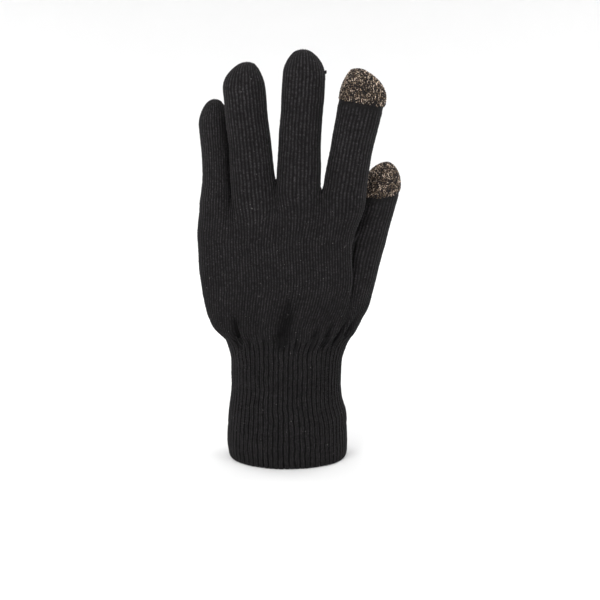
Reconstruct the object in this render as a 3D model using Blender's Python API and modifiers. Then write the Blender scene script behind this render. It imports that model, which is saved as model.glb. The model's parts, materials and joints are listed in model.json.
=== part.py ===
"""A left-hand knitted touchscreen glove: ribbed cuff, palm, five jointed finger tubes, touch tips.

The fingers point along +Z, the thumb lies on the +X side, the palm faces +Y, and the origin is the
centre of the cuff's mouth. A finger tube is split at its knuckles: rigid tubes, with a soft knuckle
zone between each two that opens as a wedge on the palm side. Metres throughout.
"""

import math

import bmesh
import bpy
from mathutils import Matrix, Vector

MM = 0.001
WALL = 1.4 * MM
GAP = 0.35 * MM
SEAM = 0.6 * MM

# cuff: height, half width and half depth of its sections, hem upwards
CUFF_SECTIONS = (
    (1.6, 33.0, 26.4),
    (9.0, 34.2, 27.0),
    (26.0, 33.2, 26.0),
    (44.0, 31.2, 24.2),
    (60.0, 31.4, 23.6),
    (69.5, 33.0, 22.6),
)
CUFF_CENTRE_X = 0.2 * MM
HEM_THICKNESS = 1.5 * MM
HEM_SINK = 0.25
# right half of the hem's section: shares of its thickness outwards, and of its height upwards
HEM_PROFILE = ((0.0, 0.0), (0.35, 0.0), (0.5, 0.25), (0.5, 0.75), (0.35, 1.0), (0.0, 1.0))
ELASTIC_TURNS = 5
ELASTIC_STEPS = 24
ELASTIC_RADIUS = 0.35 * MM
ELASTIC_FROM_Z = 20 * MM
ELASTIC_RISE = 36 * MM
ELASTIC_CLEAR = 1.3 * MM

# palm: height, left edge, right edge, half depth
PALM_SECTIONS = (
    (70.0, -33.3, 33.9, 22.2),
    (77.0, -40.0, 36.5, 19.8),
    (86.0, -45.5, 38.0, 17.4),
    (98.0, -48.6, 37.6, 15.4),
    (114.0, -50.4, 36.6, 14.2),
    (130.0, -51.4, 37.0, 13.4),
    (142.0, -51.2, 40.2, 12.8),
    (156.0, -50.4, 43.8, 12.2),
)
PALM_RING_HEIGHTS = (70.0, 77.0, 86.0, 98.0, 112.0, 124.0)
PALM_FULLNESS = 2.5
PALM_SIDES = 48
PALM_TOP_SINK = 3.0 * MM
ROOT_SEAM = 1.3 * MM
ROOT_LINE_GUESS = 140 * MM
ROOT_LINE_ROUNDS = 6

ROOT_FLEX = 70
MIDDLE_FLEX = 80
END_FLEX = 40
WEDGE_SPARE = 1.5
HINGE_CLEAR = 1.6 * MM
FINGER_SIDES = 16
DOME_PER_WIDTH = 1.15
DOME_LEVELS = (0.45, 0.72, 0.89, 0.97)
TIP_FULLNESS = 2.3

# finger: root, middle and end knuckle heights, tip height, centre at the root (x, y), lean (x, y per
# unit of height), half width at root and tip, half depth at root and tip
FINGERS = {
    "pinky": ((147, 167, 186, 208.7), (-40.9, 3.0), (-0.015, 0.13), (9.2, 8.3), (9.4, 8.6)),
    "ring": ((152, 179, 205, 230.0), (-18.3, 0.5), (-0.09, 0.01), (11.2, 10.2), (10.6, 9.6)),
    "middle": ((154, 184, 211, 237.0), (6.2, 0.0), (0.055, 0.0), (11.3, 10.7), (10.8, 9.8)),
    "index": ((151, 176, 199, 226.0), (31.8, 0.5), (0.185, 0.01), (10.9, 11.2), (10.6, 9.8)),
}
INDEX_CAP_Z = 207.5 * MM

THUMB_BASE = Vector((33.4, 8.0, 86.0)) * MM
THUMB_TIP = Vector((59.8, 21.0, 172.5)) * MM
THUMB_FLEX_WAY = Vector((-0.68, 0.73, 0.0))
THUMB_OPENING_FROM = 0.5 * MM
THUMB_TUBE_FROM = 2 * MM
THUMB_ROOT = 42 * MM
THUMB_INWARD = 40
THUMB_OUTWARD = 35
THUMB_KNUCKLE = 64.5 * MM
THUMB_FLEX = 55
THUMB_CAP_FROM = 74.5 * MM
THUMB_WIDTHS = (12.6 * MM, 9.5 * MM)
THUMB_DEPTHS = (12.0 * MM, 9.3 * MM)

STITCH_RISE = 3 * MM
STITCH_HALF = 1.6 * MM
STITCH_LEAST_HALF = 0.25 * MM
YARN_END_HALF = Vector((1.1, 0.9, 0.9)) * MM
MIDDLE_YARN_END_DROP = 11.5 * MM

KNIT = ("knit", (0.035, 0.035, 0.037), 0.95, 0.0)
RIB = ("rib", (0.03, 0.03, 0.032), 0.95, 0.0)
CONDUCTIVE = ("conductive", (0.16, 0.11, 0.08), 0.6, 0.4)
ELASTIC = ("elastic", (0.05, 0.05, 0.05), 0.8, 0.0)
THREAD = ("thread", (0.03, 0.03, 0.03), 0.9, 0.0)


def clear_scene():
    for item in list(bpy.data.objects):
        bpy.data.objects.remove(item, do_unlink=True)


def new_collection(name, hidden=False):
    collection = bpy.data.collections.new(name)
    collection.hide_render = hidden
    bpy.context.scene.collection.children.link(collection)
    return collection


def material(name, look):
    _, colour, roughness, metallic = look
    made = bpy.data.materials.new(name)
    made.use_nodes = True
    shader = made.node_tree.nodes["Principled BSDF"]
    shader.inputs["Base Color"].default_value = (*colour, 1.0)
    shader.inputs["Roughness"].default_value = roughness
    shader.inputs["Metallic"].default_value = metallic
    return made


def add_object(name, data, look, pivot=None):
    """An object whose origin sits on its joint's axis, so its mesh is stored about that point."""
    made = bpy.data.objects.new(name, data)
    if pivot is not None:
        data.transform(Matrix.Translation(-pivot))
        made.location = pivot
    data.materials.append(material(name + "_material", look))
    PARTS.objects.link(made)
    return made


def lerp(low, high, share):
    return low + (high - low) * share


def angles(sides):
    return [2 * math.pi * (side + 0.5) / sides for side in range(sides)]


def loft_mesh(name, rows, tip=None, capped=False):
    """A surface through rings of points, listed upwards and anticlockwise, with an optional tip point."""
    shape = bmesh.new()
    rings = [[shape.verts.new(point) for point in row] for row in rows]
    sides = len(rings[0])
    for low, high in zip(rings, rings[1:]):
        for side in range(sides):
            following = (side + 1) % sides
            shape.faces.new((low[side], low[following], high[following], high[side]))
    if tip is not None:
        point = shape.verts.new(tip)
        for side in range(sides):
            shape.faces.new((rings[-1][side], rings[-1][(side + 1) % sides], point))
    if capped:
        shape.faces.new(list(reversed(rings[0])))
        shape.faces.new(rings[-1])
    mesh = bpy.data.meshes.new(name)
    shape.to_mesh(mesh)
    shape.free()
    mesh.shade_smooth()
    return mesh


def knit_shell(name, rows, look, pivot=None, tip=None):
    made = add_object(name, loft_mesh(name, rows, tip), look, pivot)
    shell = made.modifiers.new("wall", "SOLIDIFY")
    shell.thickness = WALL
    shell.offset = -1
    shell.use_even_offset = True
    return made


class Tube:
    """A tube with a straight, leaning centre line, level elliptical sections and a domed tip."""

    def __init__(self, root, tip, centre, lean, widths, depths):
        self.root, self.tip = root, tip
        self.centre, self.lean = centre, lean
        self.widths, self.depths = widths, depths
        self.dome = tip - DOME_PER_WIDTH * widths[1]

    def at(self, height):
        rise = height - self.root
        return self.centre[0] + self.lean[0] * rise, self.centre[1] + self.lean[1] * rise

    def hinge(self, height):
        return Vector((*self.at(height), height))

    def half_sizes(self, height):
        share = (height - self.root) / (self.tip - self.root)
        closing = max(0.0, (height - self.dome) / (self.tip - self.dome))
        scale = max(0.0, 1 - closing**TIP_FULLNESS) ** (1 / TIP_FULLNESS)
        return scale * lerp(*self.widths, share), scale * lerp(*self.depths, share)

    def point(self, height, angle):
        x, y = self.at(height)
        width, depth = self.half_sizes(height)
        return Vector((x + width * math.cos(angle), y + depth * math.sin(angle), height))

    def edge(self, height, flex, side, extra=0.0, back_flex=None):
        """Heights round a tube's end: cut away as a wedge towards the palm, and level on the back
        unless the joint bends backwards too."""
        depth = self.half_sizes(height)[1]
        heights = []
        for angle in angles(FINGER_SIDES):
            palmward = math.sin(angle) > 0
            bend = flex if palmward else back_flex
            slope = 0.0 if bend is None else math.tan(math.radians(bend / 2 + WEDGE_SPARE))
            away = HINGE_CLEAR + extra + slope * depth * abs(math.sin(angle))
            heights.append(height + side * away)
        return heights

    def rows(self, low, high, steps):
        return [
            [
                self.point(lerp(from_z, to_z, step / steps), angle)
                for from_z, to_z, angle in zip(low, high, angles(FINGER_SIDES))
            ]
            for step in range(steps + 1)
        ]

    def level(self, height):
        return [height] * FINGER_SIDES

    def dome_rows(self):
        return [
            [self.point(lerp(self.dome, self.tip, share), angle) for angle in angles(FINGER_SIDES)]
            for share in DOME_LEVELS
        ]

    def tip_point(self):
        return self.hinge(self.tip)


class Finger(Tube):
    """One of the four fingers, with its middle and end knuckle heights."""

    def __init__(self, name, heights, *sizes):
        root, self.middle, self.end, tip = [height * MM for height in heights]
        centre, lean, widths, depths = sizes
        in_metres = [[value * MM for value in pair] for pair in (centre, widths, depths)]
        super().__init__(root, tip, in_metres[0], lean, *in_metres[1:])
        self.name = name


def knuckle_height(x):
    """Height of the fingers' root line above a place across the palm."""
    places = [(finger.centre[0], finger.root) for finger in FINGER_TUBES]
    if x <= places[0][0]:
        return places[0][1]
    for (left, low), (right, high) in zip(places, places[1:]):
        if x <= right:
            return lerp(low, high, (x - left) / (right - left))
    return places[-1][1]


def palm_top(x, depth):
    slope = math.tan(math.radians(ROOT_FLEX / 2 + WEDGE_SPARE))
    return knuckle_height(x) - PALM_TOP_SINK - slope * max(0.0, depth)


def palm_section(height):
    sections = [[value * MM for value in section] for section in PALM_SECTIONS]
    for low, high in zip(sections, sections[1:]):
        if height <= high[0]:
            break
    share = (height - low[0]) / (high[0] - low[0])
    left, right, depth = [lerp(a, b, share) for a, b in zip(low[1:], high[1:])]
    return (left + right) / 2, (right - left) / 2, depth


def palm_point(height, angle, grown=0.0):
    centre, width, depth = palm_section(height)
    across, through = math.cos(angle), math.sin(angle)
    power = 2 / PALM_FULLNESS
    x = centre + (width + grown) * math.copysign(abs(across) ** power, across)
    y = (depth + grown) * math.copysign(abs(through) ** power, through)
    return Vector((x, y, height))


def palm_rows(grown=0.0):
    """Level rings below, and a last stretch that rises to the sloping line of the finger roots."""
    rows = [
        [palm_point(level * MM, angle, grown) for angle in angles(PALM_SIDES)]
        for level in PALM_RING_HEIGHTS
    ]
    tops = [ROOT_LINE_GUESS] * PALM_SIDES
    for _ in range(ROOT_LINE_ROUNDS):
        points = [palm_point(top, angle) for top, angle in zip(tops, angles(PALM_SIDES))]
        tops = [palm_top(point.x, point.y) for point in points]
    for share in (0.5, 1.0):
        rows.append(
            [
                palm_point(lerp(PALM_RING_HEIGHTS[-1] * MM, top, share), angle, grown)
                for top, angle in zip(tops, angles(PALM_SIDES))
            ]
        )
    return rows


def make_cuff():
    rows = [
        [
            Vector(
                (
                    CUFF_CENTRE_X + width * MM * math.cos(angle),
                    depth * MM * math.sin(angle),
                    height * MM,
                )
            )
            for angle in angles(PALM_SIDES)
        ]
        for height, width, depth in CUFF_SECTIONS
    ]
    rows[0] = [point + Vector((0, 0, GAP)) for point in rows[0]]
    rows[-1] = [point - Vector((0, 0, GAP)) for point in rows[-1]]
    knit_shell("cuff_rib", rows, RIB)


def make_hem():
    """The turned edge: a ring of a rounded section under the ribs, flat below."""
    _, width, depth = CUFF_SECTIONS[0]
    outline = list(HEM_PROFILE) + [(-out, up) for out, up in reversed(HEM_PROFILE[1:-1])]
    height = CUFF_SECTIONS[0][0] * MM
    rows = []
    for out, up in outline:
        reach = HEM_THICKNESS * (out - HEM_SINK)
        rows.append(
            [
                Vector(
                    (
                        CUFF_CENTRE_X + (width * MM + reach) * math.cos(angle),
                        (depth * MM + reach) * math.sin(angle),
                        height * up,
                    )
                )
                for angle in angles(PALM_SIDES)
            ]
        )
    rows.append(rows[0])
    mesh = loft_mesh("cuff_hem", rows)
    shape = bmesh.new()
    shape.from_mesh(mesh)
    bmesh.ops.remove_doubles(shape, verts=shape.verts, dist=1e-6)
    bmesh.ops.recalc_face_normals(shape, faces=shape.faces)
    shape.to_mesh(mesh)
    shape.free()
    add_object("cuff_hem", mesh, RIB)


def cuff_half_sizes(height):
    for low, high in zip(CUFF_SECTIONS, CUFF_SECTIONS[1:]):
        if height <= high[0] * MM:
            break
    share = (height - low[0] * MM) / ((high[0] - low[0]) * MM)
    return lerp(low[1], high[1], share) * MM, lerp(low[2], high[2], share) * MM


def make_elastic():
    curve = bpy.data.curves.new("cuff_elastic_yarn", "CURVE")
    curve.dimensions = "3D"
    curve.bevel_depth = ELASTIC_RADIUS
    curve.bevel_resolution = 1
    curve.use_fill_caps = True
    spline = curve.splines.new("POLY")
    count = ELASTIC_TURNS * ELASTIC_STEPS + 1
    spline.points.add(count - 1)
    for index, point in enumerate(spline.points):
        height = ELASTIC_FROM_Z + ELASTIC_RISE * index / (count - 1)
        angle = 2 * math.pi * index / ELASTIC_STEPS
        width, depth = cuff_half_sizes(height)
        inset = WALL + ELASTIC_CLEAR
        x = CUFF_CENTRE_X + (width - inset) * math.cos(angle)
        point.co = (x, (depth - inset) * math.sin(angle), height, 1)
    add_object("cuff_elastic_yarn", curve, ELASTIC)


def root_line(finger):
    """Heights of a tube's lower end, a seam's breadth above the palm's sloping top."""
    heights = finger.level(finger.root)
    for _ in range(ROOT_LINE_ROUNDS):
        points = [finger.point(z, angle) for z, angle in zip(heights, angles(FINGER_SIDES))]
        heights = [palm_top(point.x, point.y) + ROOT_SEAM for point in points]
    return heights


def make_finger(finger):
    """Lower, middle and end tube, with a soft knuckle zone below each."""
    root, middle, end = [finger.hinge(z) for z in (finger.root, finger.middle, finger.end)]
    low = root_line(finger)
    name = finger.name
    knit_shell(
        name + "_root_knuckle",
        finger.rows(low, finger.edge(finger.root, ROOT_FLEX, 1, -SEAM), 3),
        KNIT,
        root,
    )
    knit_shell(
        name + "_lower_tube",
        finger.rows(
            finger.edge(finger.root, ROOT_FLEX, 1), finger.edge(finger.middle, MIDDLE_FLEX, -1), 3
        ),
        KNIT,
        root,
    )
    knit_shell(
        name + "_middle_knuckle",
        finger.rows(
            finger.edge(finger.middle, MIDDLE_FLEX, -1, -SEAM),
            finger.edge(finger.middle, MIDDLE_FLEX, 1, -SEAM),
            2,
        ),
        KNIT,
        middle,
    )
    knit_shell(
        name + "_middle_tube",
        finger.rows(
            finger.edge(finger.middle, MIDDLE_FLEX, 1), finger.edge(finger.end, END_FLEX, -1), 3
        ),
        KNIT,
        middle,
    )
    knit_shell(
        name + "_end_knuckle",
        finger.rows(
            finger.edge(finger.end, END_FLEX, -1, -SEAM),
            finger.edge(finger.end, END_FLEX, 1, -SEAM),
            2,
        ),
        KNIT,
        end,
    )
    end_edge = finger.edge(finger.end, END_FLEX, 1)
    if name == "index":
        knit_shell("index_end_tube", finger.rows(end_edge, finger.level(INDEX_CAP_Z), 2), KNIT, end)
        start = finger.level(INDEX_CAP_Z + GAP)
        rows = finger.rows(start, finger.level(finger.dome), 2)
        knit_shell(
            "index_touch_tip", rows + finger.dome_rows(), CONDUCTIVE, end, finger.tip_point()
        )
        return
    rows = finger.rows(end_edge, finger.level(finger.dome), 2)
    knit_shell(name + "_end_tube", rows + finger.dome_rows(), KNIT, end, finger.tip_point())


def thumb_frame():
    """Local +Z runs along the thumb, and local +Y is the way that it bends."""
    up = (THUMB_TIP - THUMB_BASE).normalized()
    bend = (THUMB_FLEX_WAY - up * THUMB_FLEX_WAY.dot(up)).normalized()
    side = bend.cross(up)
    turn = Matrix((side, bend, up)).transposed().to_4x4()
    return Matrix.Translation(THUMB_BASE) @ turn


def thumb_tube():
    length = (THUMB_TIP - THUMB_BASE).length
    return Tube(0.0, length, (0, 0), (0, 0), THUMB_WIDTHS, THUMB_DEPTHS)


def in_thumb(rows):
    return [[THUMB_MATRIX @ point for point in row] for row in rows]


def cutter(name, rows):
    made = bpy.data.objects.new(name, loft_mesh(name, rows, capped=True))
    made.hide_render = True
    made.display_type = "WIRE"
    CUTTERS.objects.link(made)
    return made


def subtract(target, tool):
    cut = target.modifiers.new("opening", "BOOLEAN")
    cut.operation = "DIFFERENCE"
    cut.object = tool


def make_palm(thumb):
    """The palm tube, open at the wrist, at the finger roots and where the thumb tube joins it."""
    palm = knit_shell("palm_knit", palm_rows(), KNIT)
    around = 1 + 2 * GAP / thumb.widths[0]
    rows = [
        [Vector((point.x * around, point.y * around, point.z)) for point in row]
        for row in thumb.rows(thumb.level(THUMB_OPENING_FROM), thumb.level(THUMB_ROOT), 2)
    ]
    subtract(palm, cutter("thumb_opening", in_thumb(rows)))


def make_thumb(thumb):
    """A fixed base tube on the palm's side, then two moving tubes with a soft zone below each."""
    root, knuckle = [THUMB_MATRIX @ Vector((0, 0, z)) for z in (THUMB_ROOT, THUMB_KNUCKLE)]
    swing = THUMB_INWARD, THUMB_OUTWARD
    root_low, root_high = [thumb.edge(THUMB_ROOT, swing[0], s, 0, swing[1]) for s in (-1, 1)]
    soft_low, soft_high = [thumb.edge(THUMB_ROOT, swing[0], s, -SEAM, swing[1]) for s in (-1, 1)]
    base = knit_shell(
        "thumb_base_tube", in_thumb(thumb.rows(thumb.level(THUMB_TUBE_FROM), root_low, 4)), KNIT
    )
    subtract(base, cutter("palm_envelope", palm_rows(GAP)))
    knit_shell("thumb_root_knuckle", in_thumb(thumb.rows(soft_low, soft_high, 2)), KNIT, root)
    lower = thumb.rows(root_high, thumb.edge(THUMB_KNUCKLE, THUMB_FLEX, -1), 3)
    knit_shell("thumb_lower_tube", in_thumb(lower), KNIT, root)
    soft_low, soft_high = [thumb.edge(THUMB_KNUCKLE, THUMB_FLEX, s, -SEAM) for s in (-1, 1)]
    knit_shell("thumb_end_knuckle", in_thumb(thumb.rows(soft_low, soft_high, 2)), KNIT, knuckle)
    band = thumb.rows(
        thumb.edge(THUMB_KNUCKLE, THUMB_FLEX, 1), thumb.level(THUMB_CAP_FROM - GAP), 2
    )
    knit_shell("thumb_end_tube", in_thumb(band), KNIT, knuckle)
    cap = thumb.rows(thumb.level(THUMB_CAP_FROM), thumb.level(thumb.dome), 1)
    tip = THUMB_MATRIX @ thumb.tip_point()
    knit_shell("thumb_touch_tip", in_thumb(cap + thumb.dome_rows()), CONDUCTIVE, knuckle, tip)


def make_knot(name, place, half_sizes, pivot=None):
    """A tied-off yarn end or a linking stitch: a small flattened ball."""
    shape = bmesh.new()
    bmesh.ops.create_uvsphere(shape, u_segments=10, v_segments=6, radius=1.0)
    bmesh.ops.scale(shape, vec=half_sizes, verts=shape.verts)
    bmesh.ops.translate(shape, vec=place, verts=shape.verts)
    mesh = bpy.data.meshes.new(name)
    shape.to_mesh(mesh)
    shape.free()
    mesh.shade_smooth()
    add_object(name, mesh, THREAD, pivot)


def make_stitches():
    """The linking stitches in the crotches between neighbouring tubes."""
    for left, right in zip(FINGER_TUBES, FINGER_TUBES[1:]):
        height = max(left.root, right.root) + STITCH_RISE
        from_x, to_x = left.at(height)[0] + left.widths[0], right.at(height)[0] - right.widths[0]
        y = (left.at(height)[1] + right.at(height)[1]) / 2
        half = max(STITCH_LEAST_HALF, (to_x - from_x) / 2 - GAP)
        name = f"{left.name}_{right.name}_crotch_stitch"
        place = Vector(((from_x + to_x) / 2, y, height))
        make_knot(name, place, Vector((half, STITCH_HALF, STITCH_HALF)))


def make_yarn_ends(thumb):
    """Tied-off yarn ends: beside each touch tip and on the middle fingertip."""
    by_name = {finger.name: finger for finger in FINGER_TUBES}
    index, middle = by_name["index"], by_name["middle"]
    clear = Vector((YARN_END_HALF.x + GAP, 0, 0))
    for finger, height in ((index, INDEX_CAP_Z), (middle, middle.tip - MIDDLE_YARN_END_DROP)):
        beside = finger.point(height, 0.0) + clear
        make_knot(finger.name + "_yarn_end", beside, YARN_END_HALF, finger.hinge(finger.end))
    beside = THUMB_MATRIX @ (thumb.point(THUMB_CAP_FROM, 0.0) + clear)
    knuckle = THUMB_MATRIX @ thumb.hinge(THUMB_KNUCKLE)
    make_knot("thumb_yarn_end", beside, YARN_END_HALF, knuckle)


clear_scene()
PARTS = new_collection("touchscreen_glove")
CUTTERS = new_collection("cutters", hidden=True)
FINGER_TUBES = [Finger(name, *shape) for name, shape in FINGERS.items()]
THUMB_MATRIX = thumb_frame()
THUMB = thumb_tube()

make_cuff()
make_hem()
make_elastic()
make_palm(THUMB)
for tube in FINGER_TUBES:
    make_finger(tube)
make_thumb(THUMB)
make_stitches()
make_yarn_ends(THUMB)
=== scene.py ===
"""Looks of a left-hand knitted touchscreen glove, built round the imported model's frame.

One coarse cage of the whole glove follows the way that such a glove is knitted: finger tubes that
join at the crotches into a palm, a thumb tube that joins the palm lower down, and a ribbed cuff. It
is subdivided, raised into wales, ribs and stitches along its own wale and course counts, and cut
into pieces that each cross one joint at most. Lengths are millimetres until a mesh is made.
"""

import json
import math

import bmesh
import bpy
import numpy as np
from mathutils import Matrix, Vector


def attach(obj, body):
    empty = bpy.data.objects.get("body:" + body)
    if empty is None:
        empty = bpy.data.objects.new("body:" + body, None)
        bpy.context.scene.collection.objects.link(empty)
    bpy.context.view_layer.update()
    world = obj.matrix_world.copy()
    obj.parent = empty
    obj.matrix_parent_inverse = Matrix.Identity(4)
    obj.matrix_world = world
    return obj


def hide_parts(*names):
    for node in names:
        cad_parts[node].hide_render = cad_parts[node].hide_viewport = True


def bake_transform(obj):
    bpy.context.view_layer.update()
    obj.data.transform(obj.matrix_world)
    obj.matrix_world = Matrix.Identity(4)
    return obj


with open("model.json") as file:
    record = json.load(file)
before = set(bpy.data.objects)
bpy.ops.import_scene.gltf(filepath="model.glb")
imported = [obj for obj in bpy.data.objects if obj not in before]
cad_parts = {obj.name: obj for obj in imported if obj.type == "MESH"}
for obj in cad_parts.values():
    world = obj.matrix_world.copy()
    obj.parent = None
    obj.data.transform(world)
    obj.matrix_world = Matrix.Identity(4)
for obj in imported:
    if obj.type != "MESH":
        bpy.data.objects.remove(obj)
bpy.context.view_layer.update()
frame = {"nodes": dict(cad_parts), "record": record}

MM = 0.001
JOINTS = {joint["name"]: joint for joint in frame["record"]["behaviour"]["joints"]}

# cage columns: across the back or the front of a tube, and round each of its sides
ACROSS, ROUND = 10, 2
TUBE_RING = 2 * (ACROSS + ROUND)
PALM_ACROSS = 4 * ACROSS
MITT_ACROSS = PALM_ACROSS + ACROSS
WALES_PER_COLUMN = 1.5
RIBS_PER_COLUMN = 0.625
COURSES_PER_ROW = 2
ROW = 3.0
SUBDIVISIONS = 3

# finger: half widths and half depths at root and tip, tip height, and how far the tip leans over
FINGER_SIZES = {
    "pinky": ((9.0, 8.8), (9.7, 8.9), 208.9, 0.6),
    "ring": ((12.6, 11.5), (11.0, 9.9), 230.2, 3.0),
    "middle": ((12.7, 11.7), (11.1, 10.1), 237.0, -1.2),
    "index": ((12.3, 13.0), (11.0, 10.2), 225.4, -4.4),
}
# how far one side draws in half-way up a finger: the left side if positive, else the right side
FINGER_WAISTS = {"pinky": 1.8, "ring": 0.4, "middle": -1.0, "index": -1.5}
CROTCHES = (149.5, 152.0, 161.0, 156.5, 153.5)
WEB_RISE = 0.8
SETTLE_ROWS = 6
DOME = 14.0
DOME_ROWS = 6
DOME_POWER = 2 / 1.8
DOME_TURN = math.radians(66.5)
SEAM_END_DROP = 0.35
CAP_HEIGHT = 209.2

# thumb: half widths and half depths at the ends of its axis, and distances along it
THUMB_SIZES = ((13.6, 10.6), (12.2, 9.6))
THUMB_LENGTH = 90.2
THUMB_SWING_ALONG = 42.0
THUMB_CROTCH = 44.0
THUMB_CUT = 57.0
THUMB_CAP = 74.6
THUMB_CAP_SLOPE = 6.2
THUMB_SKEW = 0.2

# palm without the thumb: height, left edge, right edge, half depth
PALM = (
    (66.0, -32.4, 33.0, 22.9),
    (70.0, -34.6, 35.2, 22.2),
    (74.0, -39.8, 39.0, 20.8),
    (79.0, -43.4, 40.8, 19.2),
    (86.0, -46.2, 41.4, 17.4),
    (98.0, -48.9, 40.0, 15.4),
    (114.0, -50.4, 38.0, 14.2),
    (130.0, -51.3, 38.4, 13.4),
    (142.0, -51.4, 41.0, 12.8),
    (156.0, -49.6, 44.2, 12.2),
)
PALM_FULLNESS = 2.5
# an outline's points lie a degree apart
ANGLES = np.radians(np.arange(-180, 180, 1.0))
# cuff: height, middle, half width, half depth
CUFF = (
    (0.0, 0.4, 34.3, 28.0),
    (9.0, 0.0, 35.0, 27.9),
    (20.0, 0.0, 34.7, 27.0),
    (27.0, 0.0, 34.1, 25.9),
    (35.0, -0.7, 32.4, 24.9),
    (44.0, -0.5, 31.6, 24.2),
    (60.0, -0.3, 31.9, 23.6),
    (70.0, -0.2, 34.8, 22.6),
)
CUFF_FULLNESS = 2.1
CUFF_TOP = 70.0
CUFF_FOLD = 2.4
# the hem's turn to the inside: height and distance in from the outer face
HEM_TURN = ((0.9, 0.25), (0.25, 0.9), (0.9, 1.6), (2.6, 1.9), (5.5, 2.0), (8.5, 2.0))
LINING_FROM, LINING_ABOVE_CUFF, LINING_ROWS = 8.0, 6.0, 22
LINING_INSET, LINING_SHARE = 2.0, 0.93

# palm with the thumb's root: each pair is a height and how far below it a change is complete
INTO_CUFF = (77.0, 9.0)
THUMB_FADE = (92.0, 22.0)
SIDE_TURN = (128.0, 50.0)
MITT_HEART = (0.0, 2.0)
THUMB_BULGE, THUMB_BULGE_LOW = 13.8, 7.0
BULGE_POWER, BULGE_SPREAD = 14, 6
SIDE_LEAN = 0.5
CROTCH_RISE = 1.5
# rows over which the finger roots become the palm, and the thumb's crease fades
PALM_SETTLE = 8
CREASE_ROWS = 17
CREASE_SINK = (-1.5, 4.5, 0.0)
ROOT_COURSE = 100

# how far a middle joint's bend reaches along the cloth, and how far above the joint it is centred
MIDDLE_REACH = {"pinky": 6.5, "ring": 8.5, "middle": 8.5, "index": 8.0}
MIDDLE_RISE = 1.0
CUT_MARGIN = 2.0

# gathers where the palm narrows into the ribs: (x, z) of both ends, half width, depth
BACK_GATHERS = (
    ((-26.0, 65), (-30.5, 88), 2.0, 4.4),
    ((-20.5, 65), (-22.5, 79), 1.4, 1.6),
    ((-12.5, 65), (-13, 77), 1.2, 1.3),
    ((-6.0, 64), (3.0, 98), 3.6, 4.6),
    ((4.5, 65), (6.5, 78), 1.3, 1.4),
    ((11, 65), (18, 82), 1.2, 2.2),
    ((17, 65), (27, 84), 1.2, 3.0),
    ((23, 66), (36, 86), 1.2, 3.2),
    ((29, 69), (42, 88), 1.3, 2.2),
)
FRONT_GATHERS = (
    ((-24, 65), (-30, 88), 2.2, 3.0),
    ((-14, 65), (-16, 82), 1.7, 2.0),
    ((-3, 65), (-4, 90), 2.5, 3.3),
    ((8, 65), (11, 82), 1.7, 2.1),
    ((19, 65), (27, 90), 2.2, 3.0),
)
# painted shade in the folds: how far a fold darkens the cloth, per millimetre down to a depth, and in
# its first millimetre
FOLD_SHADE, FOLD_SHADE_DEPTH, FOLD_EDGE_SHADE = 0.25, 2.2, 0.06

# plain knit: heights of a wale's ridge, of its stitches, and of their unevenness
PLAIN_RIDGE, PLAIN_STITCH, PLAIN_ODD, PLAIN_LEAN = 0.3, 0.15, 0.14, 0.55
# ribs: heights of a rib's mound, of its two wales, of their stitches, and of their unevenness
RIB_MOUND, RIB_TWIN, RIB_PURL, RIB_ODD, RIB_LEAN = 0.9, 0.26, 0.14, 0.12, 0.5
RIB_SINK = 0.45
SLOW_WAVE = 0.2

# heights where the ribs end, over which they fade, and of the row that closes the turned hem
RIB_TOP, RIB_FADE, RIB_EDGE_DRIFT = 79.0, 7.0, 2.5
LOW_CLOTH = ("palm_lower", "palm_gathers", "cuff_upper", "cuff_lower", "cuff_inside")
HEM_LINE, HEM_LINE_WIDTH, HEM_LINE_DEPTH, HEM_LINE_SHADE = 19.5, 1.3, 0.3, 0.12
# painted shade: the cloth is darker towards the bottom, the ribs darker than the palm's knit, and the
# palm's than the fingers'
LOW_PAINTED_SHADE, PAINTED_SHADE_HEIGHT, PAINTED_SHADE_RISE = 0.67, 55.0, 125.0
# plain dark cloth just below a touch tip: its width, tone and height
JOIN_WIDTH, JOIN_FADE = 6.0, 2.5
JOIN_TONE, JOIN_TONE_SHARE = 0.2, 0.75
JOIN_RAISED, JOIN_RAISED_SHARE = 0.1, 0.8
# cloth under a touch tip's loops
CAP_SINK, CAP_FADE = -0.5, 0.8

# loops of a touch tip: height of a course in rows, and a loop's steps, reach, sway and lift
CAP_COURSE = 0.42
LOOP_STEPS, LOOP_REACH, LOOP_SWAY, LOOP_LIFT = 10, 1.15, 0.16, 0.2
# its two yarns: radius, sides, seed, distance out, shift along the course, looseness
CAP_YARNS = (
    ("black", 0.3, 5, 4, 0.12, 0.0, 0.5),
    ("metal", 0.14, 4, 9, 0.26, 0.22, 0.8),
)
YARN_TONE = 0.45
# tied-off yarns: radius, column, distance out, loops in a knot
TIED_YARN, TIED_COLUMN, TIED_OUT, KNOT_LOOPS = 0.24, ACROSS + 0.6, 0.1, 5
STITCH_COLUMN, STITCH_SHIFT = ACROSS + 0.4, (-0.2, -0.9, 1.8)
# half sizes and short cut ends of a tied-off yarn and of a stitch between two fingers
TIED_HALF, CUT_ENDS = (0.9, 0.9, 1.1), ((0.6, -0.3, 0.7), (0.4, 0.4, -0.8))
STITCH_HALF, STITCH_ENDS = (1.0, 1.0, 1.2), ((0.3, -0.9, 0.8),)

# ends of the charcoal yarn's tone ramp: painted shade at the dark end, painted highlight at the light
# end
DARK_YARN_AND_SHADE, LIGHT_YARN_AND_HIGHLIGHT = (0.0012, 0.0011, 0.0012), (0.0268, 0.0248, 0.0261)
LINT = (0.12, 0.115, 0.11)
# painted glints: a noise runs the metal yarn's colour from near black to bright copper
COPPER_GLINTS = ((0.44, (0.008, 0.006, 0.005)), (0.53, (0.3, 0.2, 0.12)), (0.64, (1.0, 0.82, 0.67)))

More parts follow.
